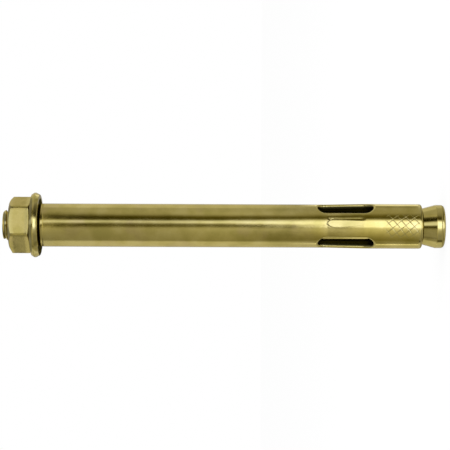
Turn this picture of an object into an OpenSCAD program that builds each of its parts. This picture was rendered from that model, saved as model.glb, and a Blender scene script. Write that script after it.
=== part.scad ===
// Sleeve anchor with a hex nut, standing on the flat end of its expander cone.
// The origin is the middle of that end face, and the axis runs up +Z to the nut.

/* [Stud] */
// Outside diameter of the thread, drawn as a plain cylinder
thread_d = 12; // [10:0.1:14]
// Length of the thread, measured down from the tip
thread_len = 60; // [40:1:90]
// Length of the thread's run-out onto the shank
thread_runout = 2; // [1:0.1:4]
// Diameter of the plain shank
shank_d = 10.8; // [9:0.1:11.4]
// How far the tip stands above the nut
tip_above_nut = 2.4; // [1:0.1:12]
// Length of the bevel on the tip
tip_bevel_len = 2.2; // [0.8:0.1:2.4]
// Radial depth of the bevel on the tip
tip_bevel_depth = 0.8; // [0.4:0.1:1.4]

/* [Expander cone] */
// Half angle of the cone
cone_half_angle = 15.2; // [10:0.1:22]
// Length of the cylindrical land below the cone
cone_land = 2; // [1:0.1:5]
// Radius on the edge of the end face
cone_edge_r = 1.2; // [0.5:0.1:2]

/* [Sleeve] */
// Length of the sleeve
sleeve_len = 141.5; // [90:0.5:220]
// Thickness of the rolled strip
sleeve_wall = 1.6; // [1:0.05:2]
// Clearance between the thread and the bore of the sleeve
bore_clearance = 0.4; // [0.3:0.05:0.8]
// How much the slotted end is flared, on the radius
flare = 0.26; // [0:0.01:0.4]
// Gap between the mouth of the sleeve and the cone it rests on
seat_gap = 0.05; // [0.02:0.01:0.2]
// Radius on the outer edge of the mouth
mouth_edge_r = 0.9; // [0.2:0.1:1.4]
// Radius on the outer edge under the washer
top_edge_r = 0.8; // [0.2:0.1:1.4]
// Width of the butt seam of the rolled strip
seam_gap = 0.6; // [0.2:0.05:1.2]

/* [Slots and legs] */
// Number of slots round the sleeve, with a leg between each two
slot_count = 3; // [2:1:4]
// Width of a slot
slot_w = 6.7; // [4:0.1:7.2]
// Length of a slot over its round ends
slot_len = 20.6; // [14:0.1:30]
// Distance of the slots from the mouth
slot_from_mouth = 18; // [10:0.1:30]
// Depth of the narrow flat that is pressed into each leg
flat_depth = 0.12; // [0.05:0.01:0.4]
// Length of the flat
flat_len = 15; // [8:0.1:18]
// Length of the ramp at its upper end
flat_ramp_top = 0.5; // [0.2:0.1:3]
// Length of the ramp at its lower end
flat_ramp_low = 4; // [0.2:0.1:5]
// Turn of the flat from the middle of its leg, in degrees
flat_turn = 5; // [-15:1:15]

/* [Washer] */
// Diameter over the rim
washer_d = 24; // [20:0.1:36]
// Thickness
washer_t = 3; // [1.5:0.1:4]
// Clearance between the thread and the hole
washer_clearance = 0.5; // [0.2:0.05:0.8]
// Radial width of the rim bevel on the nut side
rim_bevel_top = 0.6; // [0.3:0.1:1.8]
// Radial width of the rim bevel on the sleeve side
rim_bevel_low = 0.7; // [0.3:0.1:1.8]
// Height of the plain rim between the bevels
rim_land = 0.6; // [0.1:0.05:1]
// Share of the bevelled height that lies on the nut side
rim_bevel_share = 0.42; // [0.2:0.01:0.8]

/* [Nut] */
// Width across flats
nut_af = 18.7; // [17:0.1:24]
// Height of the nut
nut_h = 8; // [5:0.1:12]
// Rounding of the corners, as the loss of radius at each
nut_corner_loss = 0.2; // [0.05:0.01:0.5]
// Diameter at which the chamfer starts, as the loss from the flats
nut_chamfer_loss = 1.1; // [0.4:0.1:2]
// Angle between the chamfer on the tip side and the face
nut_chamfer_angle = 30; // [15:1:40]
// Angle between the chamfer on the washer side and the face
nut_base_angle = 15; // [5:1:40]
// Clearance between the thread and the bore of the nut
thread_clearance = 0.05; // [0.02:0.01:0.1]
// Depth of the countersink at both ends of the bore
nut_countersink = 0.4; // [0.1:0.05:0.8]
// Turn of the nut about the axis, in degrees
nut_turn = 7; // [0:1:59]

/* [Hidden] */
$fn = 96;
arc_steps = 6;
cut_margin = 1;

zinc_stud = [0.62, 0.55, 0.28];
zinc_sleeve = [0.72, 0.65, 0.34];
zinc_washer = [0.68, 0.60, 0.34];
zinc_nut = [0.76, 0.68, 0.38];

thread_r = thread_d / 2;
bore_r = thread_r + bore_clearance;
sleeve_r = bore_r + sleeve_wall;
mouth_bore_r = bore_r + flare;
mouth_r = sleeve_r + flare;

cone_r = sleeve_r;
shank_r = shank_d / 2;
cone_slope = tan(cone_half_angle);
cone_foot_z = cone_edge_r + cone_land;
cone_neck_z = cone_foot_z + (cone_r - shank_r) / cone_slope;

mouth_z = cone_foot_z + (cone_r - (mouth_bore_r - seat_gap)) / cone_slope;
sleeve_top_z = mouth_z + sleeve_len;
washer_top_z = sleeve_top_z + washer_t;
nut_top_z = washer_top_z + nut_h;
tip_z = nut_top_z + tip_above_nut;

slot_low_z = mouth_z + slot_from_mouth;
slot_top_z = slot_low_z + slot_len;
slot_mid_z = (slot_low_z + slot_top_z) / 2;
flare_low_z = slot_low_z + slot_w / 2;
flare_top_z = slot_top_z - slot_w / 2;
slot_step = 360 / slot_count;
seam_angle = 90;
leg_angles = [for (i = [0:slot_count - 1]) seam_angle + (i + 0.5) * slot_step];

flat_low_z = slot_mid_z - flat_len / 2;
flat_top_z = slot_mid_z + flat_len / 2;

nut_corner_r = nut_af / sqrt(3) - nut_corner_loss;
nut_chamfer_r = (nut_af - nut_chamfer_loss) / 2;
nut_chamfer_h = (nut_corner_r - nut_chamfer_r) * tan(nut_chamfer_angle);
nut_base_h = (nut_corner_r - nut_chamfer_r) * tan(nut_base_angle);
nut_bore_r = thread_r + thread_clearance;

// Points of an arc about a centre, from one angle to another
function arc(centre, r, from, to) = [
    for (i = [0:arc_steps])
        let (a = from + (to - from) * i / arc_steps)
            centre + r * [cos(a), sin(a)]
];

// Outline of a slot with round ends, along Y
module slot_outline(w, len) {
    square([w, len - w], center = true);
    for (end = [-1, 1])
        translate([0, end * (len - w) / 2])
            circle(d = w);
}

// Turns a profile drawn as radius and height into a slab that lies across the direction of an angle
module across(angle, width) {
    rotate([0, 0, angle])
        rotate([90, 0, 0])
            linear_extrude(height = width, center = true)
                children();
}

module cone_stud() {
    profile = concat(
        [[0, 0]],
        arc([cone_r - cone_edge_r, cone_edge_r], cone_edge_r, -90, 0),
        [
            [cone_r, cone_foot_z],
            [shank_r, cone_neck_z],
            [shank_r, tip_z - thread_len - thread_runout],
            [thread_r, tip_z - thread_len],
            [thread_r, tip_z - tip_bevel_len],
            [thread_r - tip_bevel_depth, tip_z],
            [0, tip_z]
        ]
    );
    color(zinc_stud)
        rotate_extrude()
            polygon(profile);
}

// The rolled strip before it is slotted, flared at the bottom and closed at the seam
module rolled_strip() {
    profile = concat(
        [[mouth_bore_r, mouth_z]],
        arc([mouth_r - mouth_edge_r, mouth_z + mouth_edge_r], mouth_edge_r, -90, 0),
        [[mouth_r, flare_low_z], [sleeve_r, flare_top_z]],
        arc([sleeve_r - top_edge_r, sleeve_top_z - top_edge_r], top_edge_r, 0, 90),
        [[bore_r, sleeve_top_z], [bore_r, flare_top_z], [mouth_bore_r, flare_low_z]]
    );
    rotate([0, 0, seam_angle])
        rotate_extrude()
            polygon(profile);
}

// Outer radius of a leg at a height, between the plain sleeve and the flared mouth
function leg_r(z) = mouth_r - flare * (z - flare_low_z) / (flare_top_z - flare_low_z);

// Side view of what the flat takes from a leg, out to a limit beyond its surface
module flat_outline(limit) {
    start_z = flat_low_z + flat_ramp_low;
    end_z = flat_top_z - flat_ramp_top;
    start_r = leg_r(start_z) - flat_depth;
    end_r = leg_r(end_z) - flat_depth;
    polygon([
        [limit, start_z - flat_ramp_low * (limit - start_r) / flat_depth],
        [start_r, start_z],
        [end_r, end_z],
        [limit, end_z + flat_ramp_top * (limit - end_r) / flat_depth]
    ]);
}

module expansion_sleeve() {
    reach = mouth_r + cut_margin;
    color(zinc_sleeve)
        difference() {
            rolled_strip();
            for (angle = leg_angles)
                across(angle + flat_turn, mouth_r)
                    flat_outline(reach);
            for (i = [0:slot_count - 1])
                rotate([0, 0, seam_angle + i * slot_step])
                    translate([0, 0, slot_mid_z])
                        rotate([90, 0, 90])
                            linear_extrude(height = reach)
                                slot_outline(slot_w, slot_len);
            rotate([0, 0, seam_angle])
                translate([0, -seam_gap / 2, mouth_z - cut_margin])
                    cube([reach, seam_gap, sleeve_len + 2 * cut_margin]);
        }
}

module flat_washer() {
    rim_r = washer_d / 2;
    bevel_h = washer_t - rim_land;
    low_bevel_h = bevel_h * (1 - rim_bevel_share);
    hole_r = thread_r + washer_clearance;
    profile = [
        [hole_r, sleeve_top_z],
        [rim_r - rim_bevel_low, sleeve_top_z],
        [rim_r, sleeve_top_z + low_bevel_h],
        [rim_r, sleeve_top_z + low_bevel_h + rim_land],
        [rim_r - rim_bevel_top, washer_top_z],
        [hole_r, washer_top_z]
    ];
    color(zinc_washer)
        rotate_extrude()
            polygon(profile);
}

module hex_nut() {
    sink_r = nut_bore_r + nut_countersink;
    turned = [
        [0, washer_top_z],
        [nut_chamfer_r, washer_top_z],
        [nut_corner_r, washer_top_z + nut_base_h],
        [nut_corner_r, nut_top_z - nut_chamfer_h],
        [nut_chamfer_r, nut_top_z],
        [0, nut_top_z]
    ];
    bored = [
        [0, washer_top_z - cut_margin],
        [sink_r, washer_top_z - cut_margin],
        [sink_r, washer_top_z],
        [nut_bore_r, washer_top_z + nut_countersink],
        [nut_bore_r, nut_top_z - nut_countersink],
        [sink_r, nut_top_z],
        [sink_r, nut_top_z + cut_margin],
        [0, nut_top_z + cut_margin]
    ];
    color(zinc_nut)
        difference() {
            intersection() {
                rotate([0, 0, nut_turn])
                    translate([0, 0, washer_top_z])
                        cylinder(d = nut_af / cos(30), h = nut_h, $fn = 6);
                rotate_extrude()
                    polygon(turned);
            }
            rotate_extrude()
                polygon(bored);
        }
}

cone_stud();
expansion_sleeve();
flat_washer();
hex_nut();
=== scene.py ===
import math
from functools import partial

import bmesh
import bpy
import numpy as np
from mathutils import Matrix, Vector
from mathutils.geometry import delaunay_2d_cdt


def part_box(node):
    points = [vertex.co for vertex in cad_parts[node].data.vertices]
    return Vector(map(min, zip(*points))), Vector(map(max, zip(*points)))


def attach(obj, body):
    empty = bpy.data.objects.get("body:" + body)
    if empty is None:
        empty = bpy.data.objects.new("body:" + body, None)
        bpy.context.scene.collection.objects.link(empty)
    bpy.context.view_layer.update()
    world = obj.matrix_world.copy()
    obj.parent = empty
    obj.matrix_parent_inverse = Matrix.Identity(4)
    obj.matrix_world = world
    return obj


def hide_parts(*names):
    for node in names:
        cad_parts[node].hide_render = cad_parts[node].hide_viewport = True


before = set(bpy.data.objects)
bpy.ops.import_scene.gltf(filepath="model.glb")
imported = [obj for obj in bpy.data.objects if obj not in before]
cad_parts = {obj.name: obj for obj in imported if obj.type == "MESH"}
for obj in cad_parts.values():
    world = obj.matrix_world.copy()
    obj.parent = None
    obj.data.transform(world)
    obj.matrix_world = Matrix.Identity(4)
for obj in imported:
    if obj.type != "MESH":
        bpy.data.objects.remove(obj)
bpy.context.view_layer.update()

# A sleeve anchor in yellow zinc, standing on its expander cone.
# Lengths are metres in the frame of the solids: +Z runs up the axis, and -Y faces one leg of the sleeve.

MM = 0.001
FULL_TURN = 2 * math.pi
FRONT = -math.pi / 2
MERGE_DISTANCE = 0.0005 * MM
HAIR = 0.01 * MM

# Places read from the solids
_, STUD_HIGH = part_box("cone_stud")
SLEEVE_LOW, SLEEVE_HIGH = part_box("expansion_sleeve")
WASHER_LOW, WASHER_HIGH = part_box("flat_washer")
NUT_LOW, NUT_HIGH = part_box("hex_nut")

# Stud
CONE_R = STUD_HIGH.x
CONE_EDGE_R = 1.2 * MM
CONE_FOOT_Z = 3.2 * MM
CONE_SLOPE = math.tan(math.radians(15.2))
SHANK_R = 5.4 * MM
NECK_FILLET = 1.5 * MM
LAND_FILLET = 0.25 * MM
# Painted shade on the shank where the sleeve covers it: it starts at the first height and is full from the
# second
SHADE_START_Z = 17 * MM
SHADE_FULL_Z = 21 * MM
TIP_Z = STUD_HIGH.z
TIP_R = 5.2 * MM
TIP_BEVEL = 2.2 * MM
STUD_COLUMNS = 96

# Thread, M12 and right-handed. Its edges and rows are shares of a pitch from the middle of a crest.
PITCH = 1.75 * MM
CREST_R = 5.96 * MM
ROOT_R = 4.93 * MM
CREST_EDGE = 1 / 16
ROOT_EDGE = 3 / 8
THREAD_LEN = 60 * MM
THREAD_RUNOUT = 2 * MM
THREAD_TURN = 0.136
THREAD_ROWS = (0.0, 0.0625, 0.16, 0.28, 0.375, 0.5, 0.625, 0.72, 0.84, 0.9375)
SPARE_TURNS = 2
LEAST_THREAD = 0.0001

# Sleeve
WALL = 1.6 * MM
FLARE = 0.26 * MM
MOUTH_R = SLEEVE_HIGH.x
SLEEVE_R = MOUTH_R - FLARE
MOUTH_Z = SLEEVE_LOW.z
SLEEVE_TOP_Z = SLEEVE_HIGH.z
SEAM_GAP = 0.6 * MM
SLOT_W = 6.7 * MM
SLOT_LEN = 20.6 * MM
SLOT_RISE = 18 * MM
SLOT_LOW_Z = MOUTH_Z + SLOT_RISE
SLOT_TOP_Z = SLOT_LOW_Z + SLOT_LEN
SLOT_STEP = FULL_TURN / 3
FLARE_LOW_Z = SLOT_LOW_Z + SLOT_W / 2
FLARE_TOP_Z = SLOT_TOP_Z - SLOT_W / 2

# Edges of the strip that the sleeve is rolled from, as the reach and the drop of each rounding
SLOT_EDGE = (0.75 * MM, 0.6 * MM)
MOUTH_EDGE = (0.9 * MM, 0.9 * MM)
TOP_EDGE = (0.8 * MM, 0.8 * MM)
SEAM_EDGE = (0.18 * MM, 0.18 * MM)
EDGE_STEPS = 5

# Places on the strip, which lies flat from one side of the seam to the other
SEAM_S = (math.pi - 0.5 * SEAM_GAP / (SLEEVE_R - WALL / 2)) * SLEEVE_R
SLOT_HALF = SLEEVE_R * math.asin(0.5 * SLOT_W / SLEEVE_R)
SLOT_PLACES = (-0.5 * SLOT_STEP * SLEEVE_R, 0.5 * SLOT_STEP * SLEEVE_R)
SLOT_END_LOW_Z = SLOT_LOW_Z + SLOT_HALF
SLOT_END_TOP_Z = SLOT_TOP_Z - SLOT_HALF
NOTCH_S = math.pi * SLEEVE_R

# Points along the outline of the strip
SLOT_END_STEPS = 20
NOTCH_END_STEPS = 16
SLOT_ROWS = 28
MOUTH_ROWS = 20
TUBE_ROWS = 64
STRIP_COLUMNS = 90

# Flat pressed into each leg, with a blunt nose at its upper end and a line along one side
FLAT_DEPTH = 0.12 * MM
FLAT_TURN = math.radians(5)
FLAT_LOW_Z = 29.1 * MM
FLAT_TOP_Z = 44.1 * MM
FLAT_RAMP_LOW = 9.0 * MM
FLAT_RAMP_TOP = 0.5 * MM
FLAT_HALF = 1.4 * MM
FLAT_NOSE = 1.4 * MM
FLAT_BLEND = 0.02 * MM
FLAT_EDGE = 0.18 * MM
FLAT_EDGE_FROM = 0.75 * MM
FLAT_EDGE_TO = 0.35 * MM
FLAT_LINE = 0.095 * MM
FLAT_LINE_S = 2.35 * MM
FLAT_LINE_RISE = 1.2 * MM
FLAT_LINE_RUN = 0.75 * MM
FLAT_LINE_FADE = 2 * MM
FLAT_LINE_STOP = 0.3 * MM
FLAT_MARGIN = 0.4 * MM
FLAT_PATCH_FROM = -1.1 * MM
FLAT_PATCH_TO = 3.8 * MM
FLAT_PATCH = (FLAT_PATCH_FROM, FLAT_PATCH_TO, FLAT_LOW_Z - FLAT_MARGIN, FLAT_TOP_Z + FLAT_MARGIN)
FLAT_COLUMNS = 44
FLAT_ROWS = 24
NOSE_ROWS = 26

# Cross-hatch rolled into each leg below the slots, as two courses of grooves
HATCH_PITCH = (2.13 * MM, 2.35 * MM)
HATCH_START = (0.77 * MM, 0.22 * MM)
HATCH_TILT = math.radians(49.7)
HATCH_WIDTH = 0.28 * MM
HATCH_DEPTH = 0.05 * MM
HATCH_LOW_Z = 9.1 * MM
HATCH_TOP_Z = 22.6 * MM
HATCH_FROM = math.radians(-36) * SLEEVE_R
HATCH_TO = math.radians(34) * SLEEVE_R
HATCH_FADE = 1.5 * MM
HATCH_PATCH = (HATCH_FROM, HATCH_TO, HATCH_LOW_Z, HATCH_TOP_Z)
HATCH_CELLS = range(-4, 16)
HATCH_STEPS = (0.0, 0.05, 0.1, 0.16, 0.24, 0.5, 0.8, 1.06)

# Slight waves that rolling leaves in the strip
WAVE = 0.020 * MM
WAVE_LENGTH = 3.5 * MM
WAVE_STRETCH = 0.35
WAVE_SEED = 4.0

# Washer
RIM_INSET = 0.006 * MM
RIM_R = WASHER_HIGH.x - RIM_INSET
RIM_BEVEL_TOP = 0.6 * MM
RIM_BEVEL_LOW = 0.7 * MM
RIM_LAND = 0.6 * MM
RIM_BEVEL_SHARE = 0.42
RIM_ROUND = 0.7 * MM
RIM_EDGE_R = 0.3 * MM
WASHER_HOLE_R = 6.5 * MM
WASHER_HOLE_EDGE_R = 0.25 * MM
# Painted shade under the washer round the sleeve: full inside the first radius, gone outside the second
WASHER_SHADE_FULL_R = 9.1 * MM
WASHER_SHADE_START_R = 10.3 * MM
WASHER_COLUMNS = 128

# Nut
NUT_FLAT_R = 9.35 * MM
NUT_CORNER_ROUND = 1.29 * MM
NUT_CHAMFER_R = 8.8 * MM
NUT_CHAMFER_SLOPE = math.tan(math.radians(30))
NUT_BASE_SLOPE = math.tan(math.radians(15))
NUT_FACE_EDGE_R = 0.25 * MM
NUT_FLAT_EDGE_R = 0.35 * MM
NUT_TURN = math.radians(7)
NUT_MINOR_R = 5.1 * MM
NUT_SINK_R = 6.45 * MM
NUT_SINK_DEPTH = 0.9 * MM
NUT_CLEARANCE = 0.08 * MM
NUT_CORNER_COLUMNS = 6
NUT_FLAT_COLUMNS = 12
NUT_FLAT_ROWS = 4
HEX_STEP = FULL_TURN / 6
HALF_STEP = HEX_STEP / 2
CORNER_TURN = HALF_STEP - math.atan((NUT_FLAT_R - NUT_CORNER_ROUND) * math.tan(HALF_STEP) / NUT_FLAT_R)


# Profiles

# An arc takes at most this share of each side that it joins
ARC_SHARE = 0.49


def arc_between(before, corner, after, radius, steps):
    """Points that round the corner of an outline, from one tangent point to the other."""
    a = (before - corner).normalized()
    b = (after - corner).normalized()
    half = math.acos(max(-1.0, min(1.0, a.dot(b)))) / 2
    shorter = min((before - corner).length, (after - corner).length)
    reach = min(radius / math.tan(half), ARC_SHARE * shorter)
    radius = reach * math.tan(half)
    centre = corner + (a + b).normalized() * (radius / math.sin(half))
    start = corner + a * reach - centre
    turn = start.angle_signed(corner + b * reach - centre)
    return [centre + Matrix.Rotation(-turn * i / steps, 2) @ start for i in range(steps + 1)]


def rounded(outline, steps=4):
    """An outline given as (radius, height, rounding), with its corners replaced by arcs."""
    points = [Vector((r, z)) for r, z, _ in outline]
    smooth = [points[0]]
    for i in range(1, len(outline) - 1):
        if outline[i][2] > 0:
            smooth += arc_between(points[i - 1], points[i], points[i + 1], outline[i][2], steps)
        else:
            smooth.append(points[i])
    smooth.append(points[-1])
    return [(p.x, p.y) for p in smooth]


def between(low, high, steps):
    """Evenly spaced values from low to high, both included."""
    return [low + (high - low) * i / steps for i in range(steps + 1)]


def clamped(share):
    """A share held between 0 and 1."""
    return min(1.0, max(0.0, share))


# Meshes

def new_piece(name, bm):
    """An object in the scene that holds the mesh being built."""
    mesh = bpy.data.meshes.new(name)
    bm.to_mesh(mesh)
    bm.free()
    piece = bpy.data.objects.new(name, mesh)
    bpy.context.scene.collection.objects.link(piece)
    return piece


def no_painted_shade(_radius, _height):
    """No painted shade anywhere on a piece: its share is 0 everywhere."""
    return 0.0


def turned_blank(name, angles, column, closed=False, painted_shade=no_painted_shade):
    """A blank turned about the axis. column(angle) is its outline there: (radius, height, thread share)."""
    bm = bmesh.new()
    thread_layer = bm.verts.layers.float.new("thread")
    painted_shade_layer = bm.verts.layers.float.new("painted_shade")
    rings = []
    for angle in angles:
        ring = []
        for radius, height, thread in column(angle):
            vert = bm.verts.new((radius * math.cos(angle), radius * math.sin(angle), height))
            vert[thread_layer] = thread
            # Share of painted shade at each point
            vert[painted_shade_layer] = painted_shade(radius, height)
            ring.append(vert)
        rings.append(ring)
    for left, right in zip(rings, rings[1:]):
        last = len(left) if closed else len(left) - 1
        for i in range(last):
            k = (i + 1) % len(left)
            bm.faces.new((left[i], right[i], right[k], left[k]))
    bmesh.ops.remove_doubles(bm, verts=bm.verts, dist=MERGE_DISTANCE)
    bmesh.ops.dissolve_degenerate(bm, edges=bm.edges, dist=MERGE_DISTANCE)
    bmesh.ops.recalc_face_normals(bm, faces=bm.faces)
    return new_piece(name, bm)


def helix_heights(angle, low, high):
    """Heights of the thread's rows at an angle, held between the two ends of the threaded length."""
    first = math.floor(low / PITCH + THREAD_TURN) - SPARE_TURNS
    last = math.ceil(high / PITCH + THREAD_TURN) + SPARE_TURNS
    rows = [turn + row for turn in range(first, last) for row in THREAD_ROWS]
    lead = angle / FULL_TURN - THREAD_TURN
    return [min(max((row + lead) * PITCH, low), high) for row in rows]


def finish_surface(piece, sharp_degrees=35):
    """Smooth shading that keeps the crisp edges."""
    mesh = piece.data
    mesh.polygons.foreach_set("use_smooth", [True] * len(mesh.polygons))
    mesh.set_sharp_from_angle(angle=math.radians(sharp_degrees))


# Node trees

class Field:
    """A value in a node tree. Arithmetic on it adds the nodes that work it out."""

    def __init__(self, tree, socket):
        self.tree = tree
        self.socket = socket

    def fed(self, node, others):
        """The result of a node whose inputs take this value and the others, in order."""
        for slot, value in zip(node.inputs, (self, *others)):
            if isinstance(value, Field):
                self.tree.links.new(value.socket, slot)
            else:
                slot.default_value = value
        return Field(self.tree, node.outputs[0])

    def calc(self, operation, *others):
        node = self.tree.nodes.new("ShaderNodeMath")
        node.operation = operation
        return self.fed(node, others)

    def __add__(self, other):
        return self.calc("ADD", other)

    def __sub__(self, other):
        return self.calc("SUBTRACT", other)

    def __mul__(self, other):
        return self.calc("MULTIPLY", other)

    def __truediv__(self, other):
        return self.calc("DIVIDE", other)

    def least(self, other):
        return self.calc("MINIMUM", other)

    def most(self, other):
        return self.calc("MAXIMUM", other)

    def share(self, start, end, smooth=True):
        """0 at start, 1 at end and held beyond them."""
        node = self.tree.nodes.new("ShaderNodeMapRange")
        node.interpolation_type = "SMOOTHSTEP" if smooth else "LINEAR"
        node.clamp = True
        return self.fed(node, (start, end))


class Nodes:
    """A node tree being built, with the nodes that more than one kind of tree has."""

    def __init__(self, tree):
        self.tree = tree

    def parts(self, vector):
        """The x, y and z of a vector."""
        node = self.tree.nodes.new("ShaderNodeSeparateXYZ")
        self.tree.links.new(vector, node.inputs[0])
        return [Field(self.tree, out) for out in node.outputs]

    def noise(self, place, scale, detail, seed):
        node = self.tree.nodes.new("ShaderNodeTexNoise")
        node.noise_dimensions = "4D"
        self.tree.links.new(place, node.inputs["Vector"])
        node.inputs["W"].default_value = seed
        node.inputs["Scale"].default_value = scale
        node.inputs["Detail"].default_value = detail
        return Field(self.tree, node.outputs[0])

    def ramp(self, value, stops):
        """The colour at a value, between stops given as (place, colour)."""
        node = self.tree.nodes.new("ShaderNodeValToRGB")
        bands = node.color_ramp.elements
        while len(bands) < len(stops):
            bands.new(0.5)
        for band, (at, colour) in zip(bands, stops):
            band.position = at
            band.color = (*colour, 1.0)
        self.tree.links.new(value.socket, node.inputs[0])
        return node.outputs[0]

    def blend(self, share, first, second):
        node = self.tree.nodes.new("ShaderNodeMix")
        node.data_type = "RGBA"
        self.tree.links.new(share.socket, node.inputs["Factor"])
        self.tree.links.new(first, node.inputs["A"])
        self.tree.links.new(second, node.inputs["B"])
        return node.outputs["Result"]


class Forming(Nodes):
    """A Geometry Nodes tree that reshapes a blank, with a named input for each size."""

    def __init__(self, name, sizes):
        super().__init__(bpy.data.node_groups.new(name, "GeometryNodeTree"))
        face = self.tree.interface
        face.new_socket("Blank", in_out="INPUT", socket_type="NodeSocketGeometry")
        for label in sizes:
            face.new_socket(label, in_out="INPUT", socket_type="NodeSocketFloat")
        face.new_socket("Finish", in_out="INPUT", socket_type="NodeSocketMaterial")
        face.new_socket("Formed", in_out="OUTPUT", socket_type="NodeSocketGeometry")
        self.source = self.tree.nodes.new("NodeGroupInput")
        self.sizes = sizes

    def size(self, label):
        return Field(self.tree, self.source.outputs[label])

    def place(self):
        """The x, y and z of each point of the blank."""
        return self.parts(self.tree.nodes.new("GeometryNodeInputPosition").outputs[0])

    def marked(self, attribute):
        node = self.tree.nodes.new("GeometryNodeInputNamedAttribute")
        node.data_type = "FLOAT"
        node.inputs["Name"].default_value = attribute
        return Field(self.tree, node.outputs["Attribute"])

    def vector(self, x, y, z):
        node = self.tree.nodes.new("ShaderNodeCombineXYZ")
        for slot, value in zip(node.inputs, (x, y, z)):
            self.tree.links.new(value.socket, slot)
        return node.outputs[0]

    def close(self, x, y, z):
        """Moves the points, then realizes the mesh and gives it its finish."""
        move = self.tree.nodes.new("GeometryNodeSetPosition")
        real = self.tree.nodes.new("GeometryNodeRealizeInstances")
        paint = self.tree.nodes.new("GeometryNodeSetMaterial")
        sink = self.tree.nodes.new("NodeGroupOutput")
        link = self.tree.links.new
        link(self.source.outputs["Blank"], move.inputs["Geometry"])
        link(self.vector(x, y, z), move.inputs["Position"])
        link(move.outputs[0], real.inputs[0])
        link(real.outputs[0], paint.inputs["Geometry"])
        link(self.source.outputs["Finish"], paint.inputs["Material"])
        link(paint.outputs[0], sink.inputs[0])

    def apply(self, blank, finish):
        """Runs the tree on a blank and keeps what comes out as the blank's own mesh."""
        modifier = blank.modifiers.new(self.tree.name, "NODES")
        modifier.node_group = self.tree
        values = {**self.sizes, "Finish": finish}
        for item in self.tree.interface.items_tree:
            if item.in_out == "INPUT" and item.name in values:
                modifier[item.identifier] = values[item.name]
        graph = bpy.context.evaluated_depsgraph_get()
        formed = bpy.data.meshes.new_from_object(blank.evaluated_get(graph), depsgraph=graph)
        blank.modifiers.clear()
        blank.data = formed


def thread_forming(name, inside):
    """Rolls the thread into a stud, or cuts its match into a bore."""
    forming = Forming(name, {
        "Pitch": PITCH,
        "Crest radius": CREST_R,
        "Root radius": ROOT_R,
        "Start turn": THREAD_TURN,
        "Clearance": NUT_CLEARANCE if inside else 0.0,
    })
    x, y, z = forming.place()
    radius = (x * x + y * y).calc("SQRT")
    turns = z / forming.size("Pitch") - y.calc("ARCTAN2", x) / FULL_TURN + forming.size("Start turn")
    from_crest = turns.calc("PINGPONG", 0.5)
    groove = from_crest.share(CREST_EDGE, ROOT_EDGE, smooth=False)
    share = forming.marked("thread")
    depth = (forming.size("Crest radius") - forming.size("Root radius")) * groove * share
    thread = forming.size("Crest radius") - depth + forming.size("Clearance")
    cut = radius.most(thread) if inside else radius.least(thread)
    threaded = share.calc("GREATER_THAN", LEAST_THREAD)
    formed = radius + (cut - radius) * threaded
    scale = formed / radius.most(MERGE_DISTANCE)
    forming.close(x * scale, y * scale, z)
    return forming


# Finishes

YELLOW = (0.470, 0.388, 0.122)
OLIVE = (0.410, 0.342, 0.098)
STRAW = (0.520, 0.435, 0.155)
ROSE = (0.480, 0.360, 0.180)
# SHADED and SHADED_EDGE are the colour and edge tint of painted shade: inside the sleeve, on the covered
# shank and under the washer
SHADED = (0.015, 0.013, 0.003)
EDGE = (0.96, 0.90, 0.72)
SHADED_EDGE = (0.62, 0.58, 0.22)

TONES = (OLIVE, YELLOW, STRAW)
TONE_PLACES = (0.36, 0.5, 0.64)
ROSE_PLACES = (0.3, 0.7)
ROSE_FROM, ROSE_TO = 0.56, 0.70
ROSE_STRENGTH = 0.45
ROSE_SCALE = 0.6
ROSE_DETAIL = 2.0
ROSE_SEED = 3
# Painted shade: the span of its mark over which the colour turns to SHADED, and the roughness it adds
SHADE_FROM, SHADE_TO = 0.05, 0.65
SHADE_DULLNESS = 0.3
DULL_FROM, DULL_TO = 0.3, 0.7
FINE_DETAIL = 4.0
GRAIN_SEED = 7
GRAIN_SIZE = 0.35 * MM
GRAIN_DEPTH = 0.003 * MM
DEEP_GRAIN_DEPTH = 0.006 * MM
FAINT_GRAIN_DEPTH = 0.0015 * MM


class Finish(Nodes):
    """A metal material whose colour, roughness and relief come from its nodes."""

    def __init__(self, name):
        self.material = bpy.data.materials.new(name)
        self.material.use_nodes = True
        super().__init__(self.material.node_tree)
        self.shader = self.tree.nodes["Principled BSDF"]
        self.shader.inputs["Metallic"].default_value = 1.0
        self.object_place = self.tree.nodes.new("ShaderNodeTexCoord").outputs["Object"]

    def stretched(self, scale):
        node = self.tree.nodes.new("ShaderNodeMapping")
        node.inputs["Scale"].default_value = scale
        self.tree.links.new(self.object_place, node.inputs["Vector"])
        return node.outputs[0]

    def marked(self, attribute):
        node = self.tree.nodes.new("ShaderNodeAttribute")
        node.attribute_name = attribute
        return Field(self.tree, node.outputs["Fac"])

    def tone(self, colour):
        node = self.tree.nodes.new("ShaderNodeRGB")
        node.outputs[0].default_value = (*colour, 1.0)
        return node.outputs[0]

    def set(self, label, socket):
        self.tree.links.new(socket, self.shader.inputs[label])

    def relief(self, height, distance):
        node = self.tree.nodes.new("ShaderNodeBump")
        node.inputs["Strength"].default_value = 1.0
        node.inputs["Distance"].default_value = distance
        self.tree.links.new(height.socket, node.inputs["Height"])
        self.set("Normal", node.outputs[0])


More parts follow.
